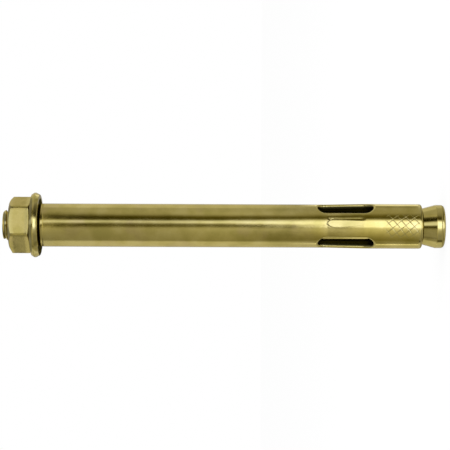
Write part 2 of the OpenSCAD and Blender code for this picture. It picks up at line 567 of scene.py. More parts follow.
def yellow_zinc(name, tones, patch, stretch, gloss, seed, grain_depth=GRAIN_DEPTH):
    """Yellow passivated zinc: soft patches of tone over a fine grain, with painted shade, dark and dull,
    where its points are marked for it.
    """
    finish = Finish(name)
    patches = finish.noise(finish.object_place, 1 / patch, FINE_DETAIL, seed)
    tint = finish.ramp(patches, list(zip(TONE_PLACES, tones)))
    rose = finish.ramp(patches, list(zip(ROSE_PLACES, (ROSE, tones[-1]))))
    rosy = finish.noise(finish.object_place, ROSE_SCALE / patch, ROSE_DETAIL, seed + ROSE_SEED)
    plated = finish.blend(rosy.share(ROSE_FROM, ROSE_TO) * ROSE_STRENGTH, tint, rose)
    # Painted shade: where its mark is set, the colour turns dark and the surface duller
    painted_shade = finish.marked("painted_shade").share(SHADE_FROM, SHADE_TO)
    finish.set("Base Color", finish.blend(painted_shade, plated, finish.tone(SHADED)))
    finish.set("Specular Tint", finish.blend(painted_shade, finish.tone(EDGE), finish.tone(SHADED_EDGE)))
    grain = finish.noise(finish.stretched(stretch), 1 / GRAIN_SIZE, FINE_DETAIL, seed + GRAIN_SEED)
    low, high = gloss
    rough = (grain * 0.5 + patches * 0.5).share(DULL_FROM, DULL_TO) * (high - low) + low
    finish.set("Roughness", (rough + painted_shade * SHADE_DULLNESS).socket)
    finish.relief(grain, grain_depth)
    return finish.material


STUD_FINISH = yellow_zinc(
    "stud_yellow_zinc", TONES, patch=5 * MM, stretch=(1, 1, 0.3), gloss=(0.04, 0.09), seed=2.0,
)
SLEEVE_FINISH = yellow_zinc(
    "sleeve_yellow_zinc", TONES, patch=6 * MM, stretch=(1, 1, 0.12), gloss=(0.08, 0.15), seed=5.0,
    grain_depth=DEEP_GRAIN_DEPTH,
)
WASHER_FINISH = yellow_zinc(
    "washer_yellow_zinc", TONES, patch=3 * MM, stretch=(1, 1, 1), gloss=(0.11, 0.19), seed=9.0,
)
NUT_FINISH = yellow_zinc(
    "nut_yellow_zinc", (OLIVE, YELLOW, YELLOW), patch=4.5 * MM, stretch=(1, 1, 1), gloss=(0.14, 0.23),
    seed=14.0, grain_depth=FAINT_GRAIN_DEPTH,
)


# Stud

def stud_column(angle):
    """Outline of the stud at an angle, from the middle of its end face to the middle of its tip."""
    neck_z = CONE_FOOT_Z + (CONE_R - SHANK_R) / CONE_SLOPE
    start = TIP_Z - THREAD_LEN - THREAD_RUNOUT
    lower = rounded([
        (0, 0, 0),
        (CONE_R, 0, CONE_EDGE_R),
        (CONE_R, CONE_FOOT_Z, LAND_FILLET),
        (SHANK_R, neck_z, NECK_FILLET),
        (SHANK_R, SHADE_START_Z, 0),
        (SHANK_R, SHADE_FULL_Z, 0),
        (SHANK_R, start, 0),
    ], steps=6)
    outline = [(r, z, 0.0) for r, z in lower]
    for z in helix_heights(angle, start, TIP_Z):
        rise = min(1.0, (z - start) / THREAD_RUNOUT)
        bevel = max(0.0, 1 - (TIP_Z - z) / TIP_BEVEL)
        radius = SHANK_R + (CREST_R - SHANK_R) * rise - (CREST_R - TIP_R) * bevel
        outline.append((radius, z, rise))
    outline.append((0, TIP_Z, 0.0))
    return outline


def stud_painted_shade(radius, height):
    """Painted shade: the shank is painted dark and dull where the sleeve covers it."""
    return 1.0 if radius < SHANK_R + HAIR and SHADE_FULL_Z <= height < TIP_Z - THREAD_LEN else 0.0


def make_stud():
    angles = between(-math.pi, math.pi, STUD_COLUMNS)
    piece = turned_blank("threaded_stud", angles, stud_column, painted_shade=stud_painted_shade)
    thread_forming("thread_rolling", inside=False).apply(piece, STUD_FINISH)
    finish_surface(piece)
    return piece


# Sleeve

def edge_inset(edge, step):
    """How far in from the cut and how deep below the skin a step of a rounded edge lies."""
    reach, drop = edge
    t = 0.5 * math.pi * step / EDGE_STEPS
    return reach * (1 - math.sin(t)), drop * (1 - math.cos(t))


def slot_loop(place, step):
    """One turn round a slot, counter to the strip's own outline."""
    out, deep = edge_inset(SLOT_EDGE, step)
    half = SLOT_HALF + out
    ends = []
    for centre, start in ((SLOT_END_TOP_Z, 0.0), (SLOT_END_LOW_Z, math.pi)):
        turns = between(start, start + math.pi, SLOT_END_STEPS)
        ends.append([(place + half * math.cos(t), centre + half * math.sin(t), deep) for t in turns])
    straight = between(SLOT_END_LOW_Z, SLOT_END_TOP_Z, SLOT_ROWS)[1:-1]
    left = [(place - half, z, deep) for z in reversed(straight)]
    right = [(place + half, z, deep) for z in straight]
    upper_end, lower_end = ends
    return upper_end + left + lower_end + right


def side_points(step):
    """The seam edge of the strip from the mouth to the top, with half a slot cut into it."""
    seam_in, seam_deep = edge_inset(SEAM_EDGE, step)
    slot_in, slot_deep = edge_inset(SLOT_EDGE, step)
    mouth_in, mouth_deep = edge_inset(MOUTH_EDGE, step)
    top_in, top_deep = edge_inset(TOP_EDGE, step)
    s = SEAM_S - seam_in
    half = SLOT_HALF + slot_in
    start = math.acos((NOTCH_S - s) / half)
    rise = half * math.sin(start)
    bottom, top = MOUTH_Z + mouth_in, SLEEVE_TOP_Z - top_in
    low, high = SLOT_END_LOW_Z, SLOT_END_TOP_Z
    points = [(s, bottom, mouth_deep)]
    points += [(s, z, seam_deep) for z in between(bottom, low - rise, MOUTH_ROWS)[1:-1]]
    for t in between(start, 0.0, NOTCH_END_STEPS):
        points.append((NOTCH_S - half * math.cos(t), low - half * math.sin(t), slot_deep))
    points += [(NOTCH_S - half, z, slot_deep) for z in between(low, high, SLOT_ROWS)[1:-1]]
    for t in between(0.0, start, NOTCH_END_STEPS):
        points.append((NOTCH_S - half * math.cos(t), high + half * math.sin(t), slot_deep))
    points += [(s, z, seam_deep) for z in between(high + rise, top, TUBE_ROWS)[1:-1]]
    points.append((s, top, top_deep))
    return points


def strip_loop(step):
    """The outline of the punched strip, from the mouth's left corner round to it again."""
    right = side_points(step)
    left = [(-s, z, deep) for s, z, deep in reversed(right)]
    s, bottom, mouth_deep = right[0]
    _, top, top_deep = right[-1]
    low_edge = [(x, bottom, mouth_deep) for x in between(-s, s, STRIP_COLUMNS)[1:-1]]
    top_edge = [(x, top, top_deep) for x in between(s, -s, STRIP_COLUMNS)[1:-1]]
    return low_edge + right + top_edge + left


def from_slot(s, z, place):
    """Distance of a point of the strip from the middle line of a slot, less the slot's half width."""
    dz = z - min(max(z, SLOT_END_LOW_Z), SLOT_END_TOP_Z)
    return math.hypot(s - place, dz) - SLOT_HALF


def in_strip(s, z, margin, insets):
    """Whether a point lies a margin or more inside the strip, with its edges moved in by the insets."""
    mouth, top, seam, slot = insets
    if not MOUTH_Z + mouth + margin < z < SLEEVE_TOP_Z - top - margin:
        return False
    if abs(s) > SEAM_S - seam - margin:
        return False
    places = (*SLOT_PLACES, NOTCH_S, -NOTCH_S)
    return all(from_slot(s, z, place) > slot + margin for place in places)


def on_leg(s):
    """Place of a point across the leg that it belongs to."""
    leg = SLOT_STEP * SLEEVE_R
    return s - leg * round(s / leg)


def in_patch(s, z, patch, margin):
    """Whether a point lies in a patch of its leg that has a closer mesh of its own."""
    left, right, low, high = patch
    return left - margin < on_leg(s) < right + margin and low - margin < z < high + margin


def on_each_leg(points):
    """The same points on all three legs."""
    return [(s + leg * SLOT_STEP * SLEEVE_R, z) for leg in (-1, 0, 1) for s, z in points]


def hatch_points():
    """Points that follow the grooves of the cross-hatch, close together at each groove."""
    # The first offset is left out, since the last one of the groove before lies beside it
    offsets = sorted({side * step * MM for step in HATCH_STEPS for side in (-1, 1)})[1:]
    along, across = [
        [start + cell * pitch + offset for cell in HATCH_CELLS for offset in offsets]
        for start, pitch in zip(HATCH_START, HATCH_PITCH)
    ]
    sin, cos = math.sin(HATCH_TILT), math.cos(HATCH_TILT)
    points = [(v * sin - u * cos, u * sin + v * cos) for u in along for v in across]
    return on_each_leg([p for p in points if in_patch(*p, HATCH_PATCH, 0)])


def flat_points():
    """Points on the pressed flat, close together across it and at its blunt upper end."""
    left, right, low, high = FLAT_PATCH
    nose = FLAT_TOP_Z - FLAT_NOSE - FLAT_MARGIN
    rows = between(low, nose, FLAT_ROWS)[:-1] + between(nose, high, NOSE_ROWS)
    return on_each_leg([(s, z) for z in rows for s in between(left, right, FLAT_COLUMNS)])


# A skin's lattice: degrees between columns, rows round the slots and up the tube, the tube's first row above
# the slots, and the least distance of a point from an edge
OUTER_LATTICE = (4, 0.55 * MM, 1.6 * MM, 5 * MM, 0.2 * MM)
INNER_LATTICE = (6, 1.2 * MM, 6 * MM, 6 * MM, 0.3 * MM)
SLOT_ROWS_PAST = 4 * MM
HATCH_CLEAR = 0.3 * MM
FLAT_CLEAR = 0.25 * MM
PATCHES = ((HATCH_PATCH, HATCH_CLEAR), (FLAT_PATCH, FLAT_CLEAR))
NO_INSETS = (0, 0, 0, 0)
# Painted shade on the sleeve's inner skin and on the inner part of its cut walls, from this depth below the
# outer skin
WALL_SHADE_START = 0.45 * MM
WALL_SHADE_RUN = 0.6 * MM
CUT_TOLERANCE = 0.001 * MM
LATTICE_TOLERANCE = 1e-5


def lattice_points(lattice):
    """Points on a plain lattice over the strip."""
    degrees, slot_row, tube_row, tube_start, _ = lattice
    step = math.radians(degrees) * SLEEVE_R
    count = int(math.pi * SLEEVE_R / step)
    rows = np.arange(MOUTH_Z, SLOT_TOP_Z + SLOT_ROWS_PAST, slot_row).tolist()
    rows += np.arange(SLOT_TOP_Z + tube_start, SLEEVE_TOP_Z, tube_row).tolist()
    return [(i * step, z) for z in rows for i in range(-count, count + 1)]


def skin(loops, points, insets):
    """Triangles of a skin between its outlines, as indices into the outlines' points and then the others."""
    outline = [(s, z) for loop in loops for s, z, _ in loop]
    edges = []
    first = 0
    for loop in loops:
        edges += [(first + i, first + (i + 1) % len(loop)) for i in range(len(loop))]
        first += len(loop)
    places = [Vector((s / MM, z / MM)) for s, z in outline + points]
    verts, _, faces, origin, _, _ = delaunay_2d_cdt(places, edges, [], 0, LATTICE_TOLERANCE)
    source = [found[0] for found in origin]
    kept = []
    for face in faces:
        centre = sum((verts[i] for i in face), Vector((0, 0))) / 3 * MM
        if in_strip(centre.x, centre.y, -CUT_TOLERANCE, insets):
            kept.append([source[i] for i in face])
    return kept


def strip_blank():
    """The punched strip lying flat: x along its width, y up the axis, z through its thickness."""
    bm = bmesh.new()
    painted_shade_layer = bm.verts.layers.float.new("painted_shade")
    outlines = [strip_loop, *(partial(slot_loop, place) for place in SLOT_PLACES)]
    stages = [[outline(step) for outline in outlines] for step in range(EDGE_STEPS + 1)]
    stages.append([[(s, z, WALL) for s, z, _ in loop] for loop in stages[-1]])
    rings = [[[bm.verts.new((s, z, -d)) for s, z, d in loop] for loop in stage] for stage in stages]
    for above, below in zip(rings, rings[1:]):
        for upper, lower in zip(above, below):
            for i in range(len(upper)):
                k = (i + 1) % len(upper)
                bm.faces.new((upper[i], lower[i], lower[k], upper[k]))
    insets = tuple(edge_inset(edge, 0)[0] for edge in (MOUTH_EDGE, TOP_EDGE, SEAM_EDGE, SLOT_EDGE))
    plain = [p for p in lattice_points(OUTER_LATTICE) if not any(in_patch(*p, *patch) for patch in PATCHES)]
    for ring, points, lattice, depth, edges, turn in (
        (0, hatch_points() + flat_points() + plain, OUTER_LATTICE, 0.0, insets, 1),
        (-1, lattice_points(INNER_LATTICE), INNER_LATTICE, WALL, NO_INSETS, -1),
    ):
        points = [p for p in points if in_strip(*p, lattice[-1], edges)]
        verts = [v for loop in rings[ring] for v in loop]
        verts += [bm.verts.new((s, z, -depth)) for s, z in points]
        for face in skin(stages[ring], points, edges):
            bm.faces.new([verts[i] for i in face[::turn]])
    # Painted shade inside the tube, over the inner part of the walls and the inner skin
    for vert in bm.verts:
        vert[painted_shade_layer] = clamped((-vert.co.z - WALL_SHADE_START) / WALL_SHADE_RUN)
    bmesh.ops.recalc_face_normals(bm, faces=bm.faces)
    return new_piece("rolled_sleeve", bm)


def flat_shape(forming, tube, leg, z):
    """Outside radius of the tube with the flat pressed into each leg."""
    aside = leg - forming.size("Flat turn")
    off = aside * forming.size("Sleeve radius") / FLAT_HALF
    nose = z + off * off * FLAT_NOSE
    low_ramp = z.share(FLAT_LOW_Z, FLAT_LOW_Z + FLAT_RAMP_LOW, smooth=False)
    rise = nose.share(FLAT_TOP_Z - FLAT_RAMP_TOP, FLAT_TOP_Z, smooth=False)
    edge = nose.share(FLAT_TOP_Z - FLAT_EDGE_FROM, FLAT_TOP_Z - FLAT_EDGE_TO) * forming.size("Flat edge")
    sunk = tube - forming.size("Flat depth") * (low_ramp - rise * 2) - edge * (rise * -1 + 1)
    return tube.calc("SMOOTH_MIN", sunk / aside.calc("COSINE"), FLAT_BLEND)


def flat_line(forming, across, z):
    """Depth of the line that the punch leaves along one side of the flat."""
    low_end = z.share(FLAT_LOW_Z, FLAT_LOW_Z + FLAT_LINE_FADE)
    top_end = z.share(FLAT_TOP_Z - FLAT_LINE_STOP, FLAT_TOP_Z - FLAT_NOSE)
    rise = across.share(FLAT_LINE_S + FLAT_LINE_RISE, FLAT_LINE_S, smooth=False)
    run = across.share(FLAT_LINE_S - FLAT_LINE_RUN, FLAT_LINE_S, smooth=False)
    return low_end * top_end * rise * run * forming.size("Flat line")


def hatch_grooves(forming, across, z, level):
    """Depth of the cross-hatch, whose grooves fade out at the bounds of its patch and below the skin."""
    sin, cos = math.sin(HATCH_TILT), math.cos(HATCH_TILT)
    cuts = []
    courses = (z * sin - across * cos, z * cos + across * sin)
    for course, start, pitch in zip(courses, HATCH_START, HATCH_PITCH):
        away = ((course - start) / pitch).calc("PINGPONG", 0.5) * pitch
        cuts.append((away / forming.size("Hatch width") * -2 + 1).most(0.0))
    groove = cuts[0].most(cuts[1])
    for field, start, end in (
        (z, HATCH_LOW_Z, HATCH_LOW_Z + HATCH_FADE),
        (z, HATCH_TOP_Z, HATCH_TOP_Z - HATCH_FADE),
        (across, HATCH_FROM, HATCH_FROM + HATCH_FADE),
        (across, HATCH_TO, HATCH_TO - HATCH_FADE),
        (level, -2 * HAIR, 0.0),
    ):
        groove = groove * field.share(start, end)
    return groove * forming.size("Hatch depth")


def sleeve_forming():
    """Presses the legs, rolls in the cross-hatch, and rolls the strip round the axis."""
    forming = Forming("strip_rolling", {
        "Sleeve radius": SLEEVE_R,
        "Flare": FLARE,
        "Flat depth": FLAT_DEPTH,
        "Flat turn": FLAT_TURN,
        "Flat line": FLAT_LINE,
        "Flat edge": FLAT_EDGE,
        "Hatch width": HATCH_WIDTH,
        "Hatch depth": HATCH_DEPTH,
        "Wave": WAVE,
    })
    s, z, level = forming.place()
    base = forming.size("Sleeve radius")
    around = s / base
    leg = around.calc("WRAP", 0.5 * SLOT_STEP, -0.5 * SLOT_STEP)
    across = leg * base
    tube = base + forming.size("Flare") * z.share(FLARE_TOP_Z, FLARE_LOW_Z, smooth=False)
    outside = flat_shape(forming, tube, leg, z)
    angle = around + FRONT
    cosine, sine = angle.calc("COSINE"), angle.calc("SINE")
    place = forming.vector(cosine * base, sine * base, z * WAVE_STRETCH)
    wave = (forming.noise(place, 1 / WAVE_LENGTH, 1.0, WAVE_SEED) - 0.5) * 2 * forming.size("Wave")
    relief = wave - hatch_grooves(forming, across, z, level) - flat_line(forming, across, z)
    radius = outside + level + relief
    forming.close(cosine * radius, sine * radius, z)
    return forming


def make_sleeve():
    piece = strip_blank()
    sleeve_forming().apply(piece, SLEEVE_FINISH)
    finish_surface(piece, sharp_degrees=40)
    return piece


# Washer

def washer_column(_angle):
    """Outline of the washer from the middle of its hole, under it, round the rim and over it to the hole."""
    low, high = WASHER_LOW.z, WASHER_HIGH.z
    bevel = high - low - RIM_LAND
    rim_low = low + bevel * (1 - RIM_BEVEL_SHARE)
    middle = (low + high) / 2
    outline = rounded([
        (WASHER_HOLE_R, middle, 0),
        (WASHER_HOLE_R, low, WASHER_HOLE_EDGE_R),
        (WASHER_SHADE_FULL_R, low, 0),
        (WASHER_SHADE_START_R, low, 0),
        (RIM_R - RIM_BEVEL_LOW, low, RIM_EDGE_R),
        (RIM_R, rim_low, RIM_ROUND),
        (RIM_R, rim_low + RIM_LAND, RIM_ROUND),
        (RIM_R - RIM_BEVEL_TOP, high, RIM_EDGE_R),
        (WASHER_HOLE_R, high, WASHER_HOLE_EDGE_R),
        (WASHER_HOLE_R, middle, 0),
    ])
    return [(r, z, 0.0) for r, z in outline[:-1]]


def washer_painted_shade(radius, height):
    """Painted shade under the washer, on the sleeve's side, round the edge of the sleeve."""
    near = clamped((WASHER_SHADE_START_R - radius) / (WASHER_SHADE_START_R - WASHER_SHADE_FULL_R))
    return near if height < WASHER_LOW.z + HAIR else 0.0


def make_washer():
    angles = between(-math.pi, math.pi, WASHER_COLUMNS)
    piece = turned_blank("bevelled_washer", angles, washer_column, closed=True, painted_shade=washer_painted_shade)
    piece.data.materials.append(WASHER_FINISH)
    finish_surface(piece)
    return piece


# Nut

def hex_radius(angle):
    """Radius of the hexagon with soft corners, at an angle about the axis."""
    turn = angle - NUT_TURN
    off = abs(turn - HEX_STEP * round(turn / HEX_STEP))
    if off > CORNER_TURN:
        return NUT_FLAT_R / math.cos(HALF_STEP - off)
    centre = (NUT_FLAT_R - NUT_CORNER_ROUND) / math.cos(HALF_STEP)
    return centre * math.cos(off) + math.sqrt(NUT_CORNER_ROUND ** 2 - (centre * math.sin(off)) ** 2)


def nut_angles():
    """Angles that give each corner and each flat its share of columns."""
    angles = []
    for corner in range(6):
        middle = NUT_TURN + corner * HEX_STEP
        past = middle + CORNER_TURN
        angles += between(middle - CORNER_TURN, past, NUT_CORNER_COLUMNS)
        angles += between(past, middle + HEX_STEP - CORNER_TURN, NUT_FLAT_COLUMNS)[1:-1]
    return angles + [angles[0] + FULL_TURN]


def nut_column(angle):
    """Outline of the nut at an angle: up its outside over both chamfers, then down its bore."""
    low, high = NUT_LOW.z, NUT_HIGH.z
    edge = hex_radius(angle)
    flat_low = low + (edge - NUT_CHAMFER_R) * NUT_BASE_SLOPE
    flat_high = high - (edge - NUT_CHAMFER_R) * NUT_CHAMFER_SLOPE
    outside = [
        (NUT_SINK_R, low, 0),
        (NUT_CHAMFER_R, low, NUT_FACE_EDGE_R),
        (edge, flat_low, NUT_FLAT_EDGE_R),
        *[(edge, z, 0) for z in between(flat_low, flat_high, NUT_FLAT_ROWS)[1:-1]],
        (edge, flat_high, NUT_FLAT_EDGE_R),
        (NUT_CHAMFER_R, high, NUT_FACE_EDGE_R),
        (NUT_SINK_R, high, 0),
    ]
    outline = [(r, z, 0.0) for r, z in rounded(outside)]
    for z in reversed(helix_heights(angle, low, high)):
        sink = max(0.0, 1 - min(z - low, high - z) / NUT_SINK_DEPTH)
        outline.append((NUT_MINOR_R + (NUT_SINK_R - NUT_MINOR_R) * sink, z, 1.0))
    return outline


def make_nut():
    piece = turned_blank("hex_nut_body", nut_angles(), nut_column, closed=True)
    thread_forming("thread_tapping", inside=True).apply(piece, NUT_FINISH)
    finish_surface(piece)
    return piece


for make, body, node, slot in (
    (make_stud, "stud", "cone_stud", "stud_zinc"),
    (make_sleeve, "sleeve", "expansion_sleeve", "sleeve_zinc"),
    (make_washer, "sleeve", "flat_washer", "washer_zinc"),
    (make_nut, "nut", "hex_nut", "nut_zinc"),
):
    piece = make()
    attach(piece, body)
    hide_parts(node)


# Studio

CAMERA_SIDE = math.radians(2.6)
CAMERA_DISTANCE = 594.4 * MM
CAMERA_Z = 81.14 * MM
CAMERA_ROLL = math.radians(0.23)
CAMERA_RISE = 0.24 * MM
CAMERA_LENS = 128
CAMERA_SENSOR = 36
TENT_RADIUS = 0.9
TENT_LOW, TENT_HIGH = -1.6, 1.6
TENT_SIDES = 96
CLOTH_GLOW = 3.0
CLOTH_GREEN = 0.15
FLOOR_HALF = 3.0
FLOOR_DROP = 0.05 * MM
FLOOR_PAINT = (0.9, 0.9, 0.9, 1)
FLOOR_SEEN_WHITE = 0.85
SOFTBOX_SIZE = 0.8
SOFTBOX_WATTS = 4.0
SOFTBOX_PLACE = (0.25, -0.35, 1.1)
SOFTBOX_AIM = (0, 0, 0.08)


def make_camera():
    """The camera looks level at the anchor and lies on its side, so that the nut is at the left."""
    back = Vector((-math.sin(CAMERA_SIDE), -math.cos(CAMERA_SIDE), 0))
    right = Vector((0, 0, -1))
    up = back.cross(right)
    lens = bpy.data.cameras.new("photo_camera")
    lens.lens = CAMERA_LENS
    lens.sensor_width = CAMERA_SENSOR
    lens.dof.use_dof = False
    camera = bpy.data.objects.new("photo_camera", lens)
    bpy.context.scene.collection.objects.link(camera)
    turn = Matrix((right, up, back)).transposed() @ Matrix.Rotation(CAMERA_ROLL, 3, "Z")
    place = back * CAMERA_DISTANCE + up * CAMERA_RISE + Vector((0, 0, CAMERA_Z))
    camera.matrix_world = Matrix.LocRotScale(place, turn.to_quaternion(), None)
    bpy.context.scene.camera = camera


def make_world():
    world = bpy.data.worlds.new("white_room")
    world.use_nodes = True
    sky = world.node_tree.nodes["Background"]
    sky.inputs["Color"].default_value = (1, 1, 1, 1)
    sky.inputs["Strength"].default_value = 1.0
    bpy.context.scene.world = world


# Cloths of the tent: degrees from the camera, brightness and warmth. Minus degrees lie on the +X side.
BACK_PLUS_X = ((-180, 0.4, 0.0), (-167, 0.4, 0.0))
BACK_MINUS_X = ((167, 0.05, 0.5), (180, 0.05, 0.5))
PLAIN_CLOTHS = (
    (-180, 0.8, 0.0), (-40, 0.8, 0.0), (-28, 1.8, 0.0), (10, 1.8, 0.0), (22, 0.8, 0.0), (180, 0.8, 0.0),
)
DEEP_CLOTHS = (
    (-180, 0.5, 0.2), (-120, 0.5, 0.2), (-40, 0.22, 0.4), (30, 0.22, 0.4), (110, 0.5, 0.2),
    (180, 0.5, 0.2),
)
DUSK_CLOTHS = (
    (-180, 0.5, 0.2), (180, 0.5, 0.2),
)
LAND_CLOTHS = (
    *BACK_PLUS_X, (-164, 0.8, 0.0), (-125, 0.9, -0.1), (-112, 0.65, 0.0), (-75, 0.5, 0.1), (-61, 0.36, 0.2),
    (-55, 0.22, 0.4), (-49, 0.12, 0.6), (-42, 0.08, 0.7), (-37, 0.15, 0.5), (-32, 0.7, 0.0),
    (-26, 1.9, -0.4), (-20, 2.8, -0.6), (3, 2.9, -0.6), (8, 2.6, -0.5), (13, 1.5, -0.3), (24, 0.8, 0.0),
    (38, 0.6, 0.0), (50, 0.46, 0.0), (75, 0.42, 0.1), (81, 0.16, 0.4), (89, 0.16, 0.4), (96, 0.75, 0.0),
    (105, 0.95, 0.0), (125, 0.9, -0.2), (164, 0.8, 0.0), *BACK_MINUS_X,
)
RIM_CLOTHS = (
    *BACK_PLUS_X, (-164, 0.6, 0.0), (-125, 0.6, 0.0), (-112, 0.42, 0.0), (-90, 0.28, 0.1), (-70, 0.16, 0.2),
    (-58, 0.1, 0.3), (-48, 0.06, 0.5), (-40, 0.1, 0.5), (-34, 0.6, 0.0), (-28, 2.0, -0.4),
    (-22, 2.9, -0.6), (3, 2.9, -0.6), (8, 2.4, -0.5), (14, 1.2, -0.3), (24, 0.7, 0.0), (38, 0.5, 0.0),
    (50, 0.42, 0.0), (75, 0.36, 0.1), (81, 0.25, 0.2), (96, 0.4, 0.1), (105, 0.5, 0.0), (125, 0.6, -0.1),
    (164, 0.6, 0.0), *BACK_MINUS_X,
)
LOW_CLOTHS = (
    *BACK_PLUS_X, (-160, 0.8, 0.0), (-152, 1.6, -0.2), (-138, 1.6, -0.2), (-130, 0.6, 0.1),
    (-116, 0.42, 0.2), (-106, 0.57, 0.15), (-72, 0.52, 0.3), (-56, 0.22, 0.8), (-45, 0.14, 0.85),
    (-38, 0.35, 0.4), (-31, 1.5, -0.1), (-25, 2.4, -0.35), (3, 2.5, -0.35), (8, 1.7, -0.1),
    (13, 1.3, 0.1), (24, 1.1, 0.2), (40, 0.76, 0.35), (60, 0.46, 0.5), (76, 0.32, 0.65), (88, 0.45, 0.4),
    (98, 0.4, 0.45), (103, 0.4, 0.3), (108, 2.0, 0.0), (113, 1.0, 0.1), (131, 0.72, 0.1), (160, 0.8, 0.0),
    *BACK_MINUS_X,
)
MID_CLOTHS = (
    *BACK_PLUS_X, (-160, 0.55, 0.0), (-130, 0.66, 0.0), (-112, 0.62, 0.0), (-105, 0.48, 0.05),
    (-75, 0.55, 0.05), (-64, 0.56, 0.1), (-58, 0.5, 0.2), (-52, 0.32, 0.4), (-46, 0.2, 0.7),
    (-40, 0.2, 0.7), (-35, 0.34, 0.3), (-29, 0.95, -0.2), (-24, 1.6, -0.45), (-17, 2.0, -0.45),
    (-12, 1.8, -0.4), (-7, 1.0, 0.0), (-2, 0.55, 0.2), (4, 0.38, 0.2), (10, 0.45, 0.1), (19, 0.6, 0.05),
    (30, 0.46, 0.15), (47, 0.37, 0.3), (75, 0.31, 0.4), (86, 0.34, 0.35), (94, 0.6, 0.1),
    (101, 0.82, 0.0), (160, 0.7, 0.0), *BACK_MINUS_X,
)
BAND_CLOTHS = (
    *BACK_PLUS_X, (-160, 0.75, 0.0), (-130, 0.9, 0.0), (-112, 0.85, 0.0), (-105, 0.66, 0.05),
    (-75, 0.7, 0.05), (-64, 0.68, 0.1), (-58, 0.54, 0.2), (-52, 0.32, 0.4), (-46, 0.18, 0.7),
    (-40, 0.16, 0.7), (-35, 0.3, 0.3), (-29, 1.0, -0.2), (-24, 1.65, -0.45), (-17, 1.9, -0.45),
    (-12, 1.5, -0.3), (-7, 0.7, 0.0), (-2, 0.26, 0.3), (4, 0.22, 0.4), (10, 0.44, 0.2), (19, 0.66, 0.1),
    (30, 0.53, 0.15), (47, 0.43, 0.3), (75, 0.36, 0.4), (86, 0.38, 0.35), (94, 0.65, 0.1),
    (101, 0.95, 0.0), (160, 0.75, 0.0), *BACK_MINUS_X,
)
HALF_CLOTHS = (
    *BACK_PLUS_X, (-160, 0.8, 0.0), (-130, 0.92, 0.0), (-112, 0.92, 0.0), (-105, 0.66, 0.05),
    (-80, 0.7, 0.1), (-71, 0.74, 0.1), (-64, 0.7, 0.1), (-58, 0.56, 0.2), (-52, 0.36, 0.4),
    (-47, 0.2, 0.8), (-39, 0.14, 0.9), (-35, 0.14, 0.8), (-30, 0.34, 0.3), (-24, 1.25, -0.3),
    (-18, 1.6, -0.4), (-13, 1.25, -0.2), (-9, 0.6, 0.1), (-4, 0.28, 0.5), (3, 0.26, 0.5), (8, 0.48, 0.3),
    (13, 0.76, 0.15), (20, 0.82, 0.1), (45, 0.66, 0.2), (80, 0.54, 0.3), (87, 0.46, 0.3),
    (98, 0.94, 0.05), (130, 0.9, 0.0), (160, 0.7, 0.0), *BACK_MINUS_X,
)
SOFT_CLOTHS = (
    *BACK_PLUS_X, (-160, 0.8, 0.0), (-130, 0.92, 0.0), (-112, 0.92, 0.0), (-105, 0.66, 0.05),
    (-80, 0.66, 0.1), (-71, 0.62, 0.12), (-64, 0.56, 0.15), (-58, 0.42, 0.25), (-52, 0.24, 0.5),
    (-47, 0.12, 0.9), (-39, 0.08, 0.9), (-35, 0.09, 0.8), (-30, 0.2, 0.4), (-24, 0.85, -0.25),
    (-18, 1.05, -0.3), (-13, 0.6, -0.05), (-9, 0.32, 0.25), (-4, 0.19, 0.6), (3, 0.18, 0.65),
    (8, 0.33, 0.4), (13, 0.52, 0.2), (20, 0.6, 0.15), (45, 0.52, 0.18), (87, 0.44, 0.25),
    (98, 0.92, 0.03), (130, 0.88, 0.0), (160, 0.7, 0.0), *BACK_MINUS_X,
)
LEVEL_CLOTHS = (
    *BACK_PLUS_X, (-160, 0.8, 0.0), (-130, 0.92, 0.0), (-112, 0.92, 0.0), (-105, 0.66, 0.05),
    (-80, 0.64, 0.1), (-71, 0.54, 0.15), (-64, 0.42, 0.2), (-58, 0.28, 0.4), (-52, 0.13, 0.7),
    (-47, 0.06, 0.9), (-39, 0.05, 0.9), (-35, 0.09, 0.8), (-30, 0.34, 0.3), (-24, 1.15, -0.3),
    (-18, 1.3, -0.4), (-13, 0.75, -0.1), (-9, 0.3, 0.3), (-4, 0.14, 0.7), (3, 0.14, 0.7), (8, 0.28, 0.4),
    (13, 0.45, 0.2), (20, 0.54, 0.12), (45, 0.5, 0.15), (87, 0.45, 0.2), (98, 0.92, 0.0),
    (130, 0.88, 0.0), (160, 0.7, 0.0), *BACK_MINUS_X,
)
NUT_CLOTHS = (
    (-180, 0.4, 0.3), (-150, 0.62, 0.3), (-110, 0.6, 0.3), (-80, 0.6, 0.2), (-60, 0.7, 0.2),
    (-50, 0.85, 0.2), (-42, 0.98, 0.25), (-34, 1.1, 0.28), (-28, 1.18, 0.3), (-10, 1.18, 0.3),
    (-4, 1.22, 0.3), (5, 1.22, 0.3), (20, 1.05, 0.28), (40, 0.72, 0.25), (60, 0.43, 0.2), (76, 0.24, 0.2),
    (88, 0.05, 0.2), (130, 0.05, 0.1), (170, 0.26, 0.0),
)
CONE_CLOTHS = (
    (-180, 0.4, 0.0), (-160, 0.8, 0.0), (-112, 0.92, 0.0), (-105, 0.66, 0.05), (-80, 0.56, 0.1),
    (-72, 0.44, 0.15), (-66, 0.34, 0.2), (-59, 0.23, 0.3), (-52, 0.1, 0.6), (-46, 0.04, 0.9),
    (-34, 0.03, 0.9), (-28, 0.55, 0.1), (-23, 1.35, -0.35), (-11, 1.5, -0.4), (-6, 0.9, -0.2),
    (-1, 0.2, 0.5), (5, 0.08, 0.8), (9, 0.22, 0.5), (15, 0.42, 0.2), (22, 0.5, 0.15), (45, 0.42, 0.2),
    (80, 0.42, 0.2), (88, 0.5, 0.2), (96, 0.92, 0.05), (130, 0.88, 0.0), (160, 0.7, 0.0), (180, 0.4, 0.0),
)
HIGH_CLOTHS = (
    (-180, 0.36, -0.3), (-120, 0.36, -0.3), (-40, 0.25, -0.2), (-30, 0.7, -0.5), (-8, 0.7, -0.5),
    (2, 0.3, -0.2), (120, 0.36, -0.3),
)
